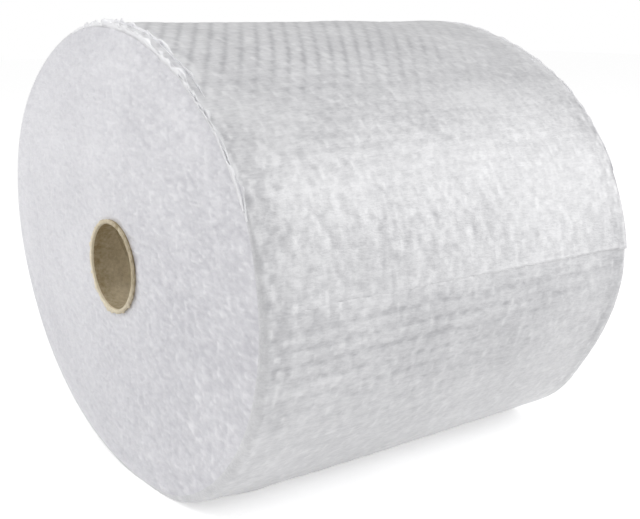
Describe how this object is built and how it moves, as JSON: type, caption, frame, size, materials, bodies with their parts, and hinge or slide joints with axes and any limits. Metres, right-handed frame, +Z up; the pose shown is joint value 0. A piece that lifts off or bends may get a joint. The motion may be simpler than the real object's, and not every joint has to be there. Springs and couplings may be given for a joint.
{
  "type": "bubble wrap roll",
  "caption": "Soft roll of small-bubble cushioning film wound on a brown paper core, lying on its side.",
  "frame": {"origin": "on the surface that the roll lies on, under its middle", "axes": "+X along the core, +Z up, -Y towards the side where the free end of the web lies"},
  "size_m": [0.307, 0.3398, 0.2992],
  "materials": {
    "film": "clear soft film, frosty where many turns lie together",
    "core_paper": "brown spiral-wound paper tube"
  },
  "bodies": {
    "root": {"bubble_web": "film", "core": "core_paper"}
  },
  "joints": []
}
